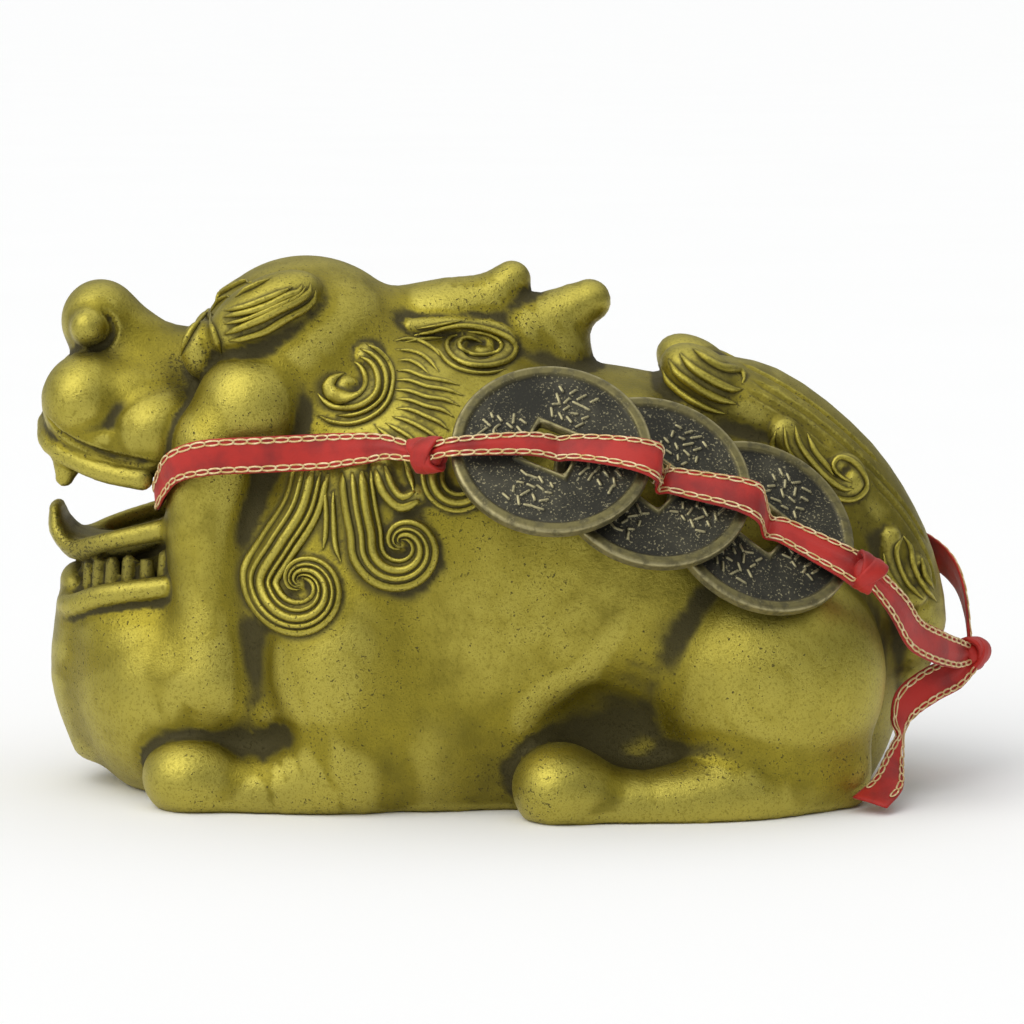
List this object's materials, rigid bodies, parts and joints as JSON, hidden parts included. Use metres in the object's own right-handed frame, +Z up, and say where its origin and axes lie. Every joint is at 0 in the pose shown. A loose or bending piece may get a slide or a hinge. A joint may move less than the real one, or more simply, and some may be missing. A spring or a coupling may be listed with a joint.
{
  "type": "figurine",
  "caption": "Lying, open-mouthed pixiu cast in brass, with old square-holed coins tied along its side on a red ribbon.",
  "frame": {"origin": "on the underside, on the ground under the middle of the figure", "axes": "+X from the nose to the tail, -Y towards the side with the coins, +Z up"},
  "size_m": [0.1144, 0.0659, 0.0635],
  "materials": {
    "brass": "olive-yellow cast brass, worn bright on the highs, with dark brown patina and speckle in the hollows",
    "coin_bronze": "dark grey-black bronze field with worn, paler rim and raised strokes",
    "ribbon": "bright red satin with gold chain stitch along both edges"
  },
  "bodies": {
    "root": {"pixiu_figure": "brass", "coin_front": "coin_bronze", "coin_middle": "coin_bronze", "coin_rear": "coin_bronze", "ribbon": "ribbon"}
  },
  "joints": []
}
